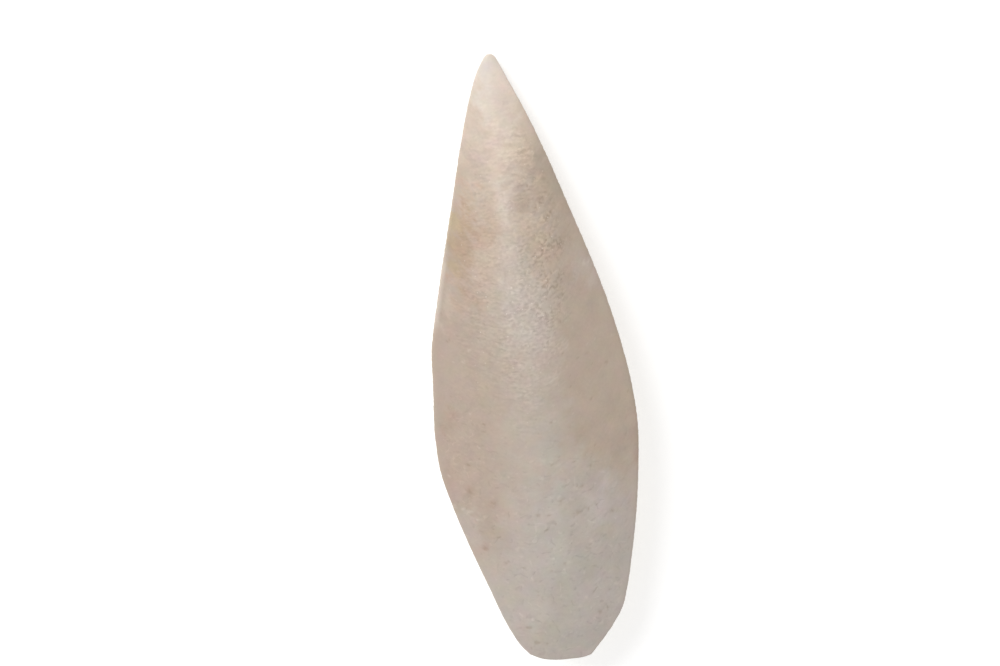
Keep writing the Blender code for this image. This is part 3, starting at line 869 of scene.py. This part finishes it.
class Nodes:
    """Short ways to add a material's nodes."""

    def __init__(self, material):
        material.use_nodes = True
        self.tree = material.node_tree
        self.surface = self.tree.nodes["Principled BSDF"]

    def add(self, kind, **settings):
        node = self.tree.nodes.new("ShaderNode" + kind)
        for name, value in settings.items():
            setattr(node, name, value)
        return node

    def link(self, source, target):
        self.tree.links.new(source, target)

    def mask(self, name):
        """One of the masks that the mesh carries."""
        return self.add("Attribute", attribute_name=name).outputs["Fac"]

    def noise_node(self, size, detail=2.0, roughness=0.5, across=1.0, shift=0.0):
        """Noise whose lumps are about that many millimetres apart, drawn out across the shell."""
        place = self.add("VectorMath", operation="MULTIPLY_ADD")
        self.link(self.add("TexCoord").outputs["Object"], place.inputs[0])
        place.inputs[1].default_value = (1.0 / across, 1.0, 1.0)
        place.inputs[2].default_value = (shift, shift, shift)
        noise = self.add("TexNoise")
        self.link(place.outputs["Vector"], noise.inputs["Vector"])
        noise.inputs["Scale"].default_value = 1.0 / (size * MM)
        noise.inputs["Detail"].default_value = detail
        noise.inputs["Roughness"].default_value = roughness
        return noise

    def noise(self, *sizes, **settings):
        """The same noise as plain numbers."""
        return self.noise_node(*sizes, **settings).outputs["Fac"]

    def strokes(self, size, gap, shift, rarity):
        """Short thin curved lines: where one noise crosses its middle and a finer one is high."""
        course = self.noise(size, detail=0.0, across=STROKE_ACROSS, shift=shift)
        aside = self.math("ABSOLUTE", self.math("SUBTRACT", course, NOISE_MIDDLE), 0.0)
        line = self.to_range(aside, 0.0, STROKE_WIDTH, 1.0, 0.0)
        place = self.noise(gap, detail=0.0, shift=shift + STROKE_SHIFT)
        return self.math("MULTIPLY", line, self.to_range(place, rarity, rarity + STROKE_FADE, 0.0, 1.0))

    def dots(self, apart, radius, kept):
        """Round dots about that many millimetres apart, of which only a share is kept."""
        cells = self.add("TexVoronoi", voronoi_dimensions="2D")
        self.link(self.add("TexCoord").outputs["Object"], cells.inputs["Vector"])
        cells.inputs["Scale"].default_value = 1.0 / (apart * MM)
        reach = radius / apart
        dot = self.to_range(cells.outputs["Distance"], reach, reach * SPARKLE_CORE, 0.0, 1.0)
        channels = self.add("SeparateColor")
        self.link(cells.outputs["Color"], channels.inputs["Color"])
        return self.math("MULTIPLY", dot, self.math("LESS_THAN", channels.outputs["Red"], kept))

    def vary_hue(self, colour, size, share):
        """The colour with its red, green and blue each varied by about that share."""
        swing = share / NOISE_SWING
        factor = self.add("VectorMath", operation="MULTIPLY_ADD")
        self.link(self.noise_node(size, HUE_DETAIL).outputs["Color"], factor.inputs[0])
        factor.inputs[1].default_value = (swing,) * 3
        factor.inputs[2].default_value = (1.0 - swing * NOISE_MIDDLE,) * 3
        product = self.add("VectorMath", operation="MULTIPLY")
        self.link(colour, product.inputs[0])
        self.link(factor.outputs["Vector"], product.inputs[1])
        return product.outputs["Vector"]

    def scale(self, colour, light):
        """The colour made lighter or darker by a factor."""
        node = self.add("VectorMath", operation="SCALE")
        self.link(colour, node.inputs[0])
        self.link(light, node.inputs["Scale"])
        return node.outputs["Vector"]

    def to_range(self, value, low, high, new_low, new_high):
        """The value with one range of it stretched to another, and held within that."""
        node = self.add("MapRange")
        self.link(value, node.inputs["Value"])
        limits = {"From Min": low, "From Max": high, "To Min": new_low, "To Max": new_high}
        for name, limit in limits.items():
            node.inputs[name].default_value = limit
        return node.outputs["Result"]

    def tone(self, value, levels, share):
        """A factor that falls and rises by a share as the value goes through its levels."""
        return self.to_range(value, *levels, 1.0 - share, 1.0 + share)

    def math(self, operation, first, second):
        """A step of arithmetic on two values, of which either may be a plain number."""
        node = self.add("Math", operation=operation)
        for socket, value in zip(node.inputs, (first, second)):
            if isinstance(value, float):
                socket.default_value = value
            else:
                self.link(value, socket)
        return node.outputs["Value"]

    def mix(self, below, colour, share):
        """The colour below with a share of another laid over it."""
        node = self.add("Mix", data_type="RGBA")
        self.link(share, node.inputs["Factor"])
        for socket, value in ((node.inputs["A"], below), (node.inputs["B"], colour)):
            if isinstance(value, tuple):
                socket.default_value = value + (1.0,)
            else:
                self.link(value, socket)
        return node.outputs["Result"]


def tinted(nodes):
    """The base colour with all its patches."""
    colour = BASE_COLOUR
    for name, (tint, patches) in TINTS.items():
        colour = nodes.mix(colour, tint, nodes.mask(name))
    for name, tint in FORM_TINTS.items():
        colour = nodes.mix(colour, tint, nodes.mask(name))
    return colour


def stroke_masks(nodes):
    """The thin strokes, each kind by its name."""
    masks = {}
    for name, (*line, where, light) in STROKES.items():
        masks[name] = nodes.math("MULTIPLY", nodes.strokes(*line), nodes.mask(where))
    return masks


def lightness(nodes, crumbs, strokes):
    """How light the skin is, as a factor: its mottling, relief, crumbs and strokes together."""
    # Crumbs lighter where their bump rises and darker where it sinks: painted light and shade.
    crumbly = nodes.to_range(crumbs, *CRUMB_LEVELS, -CRUMB_SHADE_AND_LIGHT, CRUMB_SHADE_AND_LIGHT)
    factors = [
        nodes.tone(nodes.noise(*MOTTLE_NOISE), NOISE_LEVELS, MOTTLE_TONE),
        nodes.tone(nodes.noise(*FINE_NOISE), NOISE_LEVELS, FINE_TONE),
        # Painted shade in the furrows and painted light on the crests of the grain.
        nodes.tone(nodes.mask("grain"), RELIEF_LEVELS, GRAIN_SHADE_AND_LIGHT),
        nodes.math("ADD", nodes.math("MULTIPLY", crumbly, nodes.mask("rough")), 1.0),
        nodes.tone(nodes.mask("stria"), RELIEF_LEVELS, STRIA_TONE),
    ]
    # Lightness of the strokes, painted shade and highlight for the grooves and ridges.
    for name, mask in strokes.items():
        factors.append(nodes.to_range(mask, 0.0, 1.0, 1.0, STROKES[name][-1]))
    light = factors[0]
    for factor in factors[1:]:
        light = nodes.math("MULTIPLY", light, factor)
    return light


def spotted(nodes, colour):
    """The colour with its furrows, specks, flecks and sparkles."""
    for name, (tint, strength) in SMALL_TINTS.items():
        colour = nodes.mix(colour, tint, nodes.math("MULTIPLY", nodes.mask(name), strength))
    # Sparkles: painted highlights on the grain.
    dots = nodes.dots(SPARKLE_SPACING, SPARKLE_RADIUS, SPARKLES_KEPT)
    sparkles = nodes.math("MULTIPLY", dots, nodes.mask("rough"))
    return nodes.mix(colour, SPARKLE_TINT, nodes.math("MULTIPLY", sparkles, SPARKLE_STRENGTH))


def skin_bump(nodes, crumbs, strokes):
    """The bump of the chalky grain, the crumbs and the strokes."""
    crumbly = nodes.math("MULTIPLY", nodes.math("MULTIPLY", crumbs, nodes.mask("rough")), CRUMB_BUMP)
    chalky = nodes.math("ADD", nodes.noise(*CHALK_NOISE), crumbly)
    scored = nodes.math("SUBTRACT", strokes["lit_ridges"], strokes["shaded_grooves"])
    height = nodes.math("ADD", chalky, nodes.math("MULTIPLY", scored, STROKE_BUMP))
    bump = nodes.add("Bump")
    bump.inputs["Strength"].default_value = 1.0
    bump.inputs["Distance"].default_value = BUMP_DEPTH * MM
    nodes.link(height, bump.inputs["Height"])
    return bump.outputs["Normal"]


def shell_material():
    """Dry chalk: its colours, and its fine grain by the bump and the roughness."""
    material = bpy.data.materials.new("cuttlebone_chalk")
    nodes = Nodes(material)
    crumbs = nodes.noise(*CRUMB_NOISE)
    strokes = stroke_masks(nodes)
    colour = tinted(nodes)
    for size, share in HUE_SWINGS:
        colour = nodes.vary_hue(colour, size, share)
    colour = nodes.scale(colour, lightness(nodes, crumbs, strokes))
    roughness = nodes.to_range(nodes.noise(*SHEEN_NOISE), *NOISE_LEVELS, *ROUGHNESS)
    nodes.link(spotted(nodes, colour), nodes.surface.inputs["Base Color"])
    nodes.link(skin_bump(nodes, crumbs, strokes), nodes.surface.inputs["Normal"])
    nodes.link(roughness, nodes.surface.inputs["Roughness"])
    nodes.surface.inputs["Specular IOR Level"].default_value = SPECULAR
    return material


def set_look(node, look):
    """Values on a shader's own sockets, by their names."""
    for name, value in look.items():
        node.inputs[name].default_value = value


def make_floor():
    bpy.ops.mesh.primitive_plane_add(size=FLOOR_SIZE, location=(0.0, 0.0, FLOOR_HEIGHT))
    floor = bpy.context.object
    floor.name = "floor"
    material = bpy.data.materials.new("floor_paper")
    material.use_nodes = True
    set_look(material.node_tree.nodes["Principled BSDF"], FLOOR_LOOK)
    floor.data.materials.append(material)


def make_light():
    world = bpy.data.worlds.new("studio")
    bpy.context.scene.world = world
    world.use_nodes = True
    set_look(world.node_tree.nodes["Background"], SKY_LOOK)
    lamp = bpy.data.lights.new("softbox", "AREA")
    lamp.shape = "DISK"
    lamp.size = SOFTBOX_SIZE
    lamp.energy = SOFTBOX_POWER
    softbox = bpy.data.objects.new("softbox", lamp)
    bpy.context.collection.objects.link(softbox)
    aim = Vector(SOFTBOX_PLACE)
    softbox.location = aim
    softbox.rotation_euler = aim.to_track_quat("Z", "Y").to_euler()


def make_camera():
    camera = bpy.data.objects.new("camera", bpy.data.cameras.new("camera"))
    bpy.context.collection.objects.link(camera)
    rim = through(RIM_HEIGHT, FRAME_STATION)
    camera.data.sensor_width = SENSOR_WIDTH
    camera.data.lens = SENSOR_WIDTH * (CAMERA_HEIGHT - rim) / FRAME_WIDTH
    camera.location = (FRAME_MIDDLE[0] * MM, FRAME_MIDDLE[1] * MM, CAMERA_HEIGHT * MM)
    camera.rotation_euler = (0.0, 0.0, -FRAME_ROLL)
    camera.data.clip_start = CLIPPING[0] * MM
    camera.data.clip_end = CLIPPING[1] * MM
    bpy.context.scene.camera = camera


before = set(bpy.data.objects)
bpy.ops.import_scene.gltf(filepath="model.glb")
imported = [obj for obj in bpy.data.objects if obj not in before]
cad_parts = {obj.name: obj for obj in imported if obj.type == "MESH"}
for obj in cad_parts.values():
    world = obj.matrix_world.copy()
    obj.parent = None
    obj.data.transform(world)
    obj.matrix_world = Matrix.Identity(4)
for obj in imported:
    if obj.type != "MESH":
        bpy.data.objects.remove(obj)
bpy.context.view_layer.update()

shell = make_shell()
shell.data.materials.append(shell_material())
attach(shell, "root")
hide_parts("cuttlebone")

make_floor()
make_light()
make_camera()
bpy.context.scene.view_settings.view_transform = "Standard"
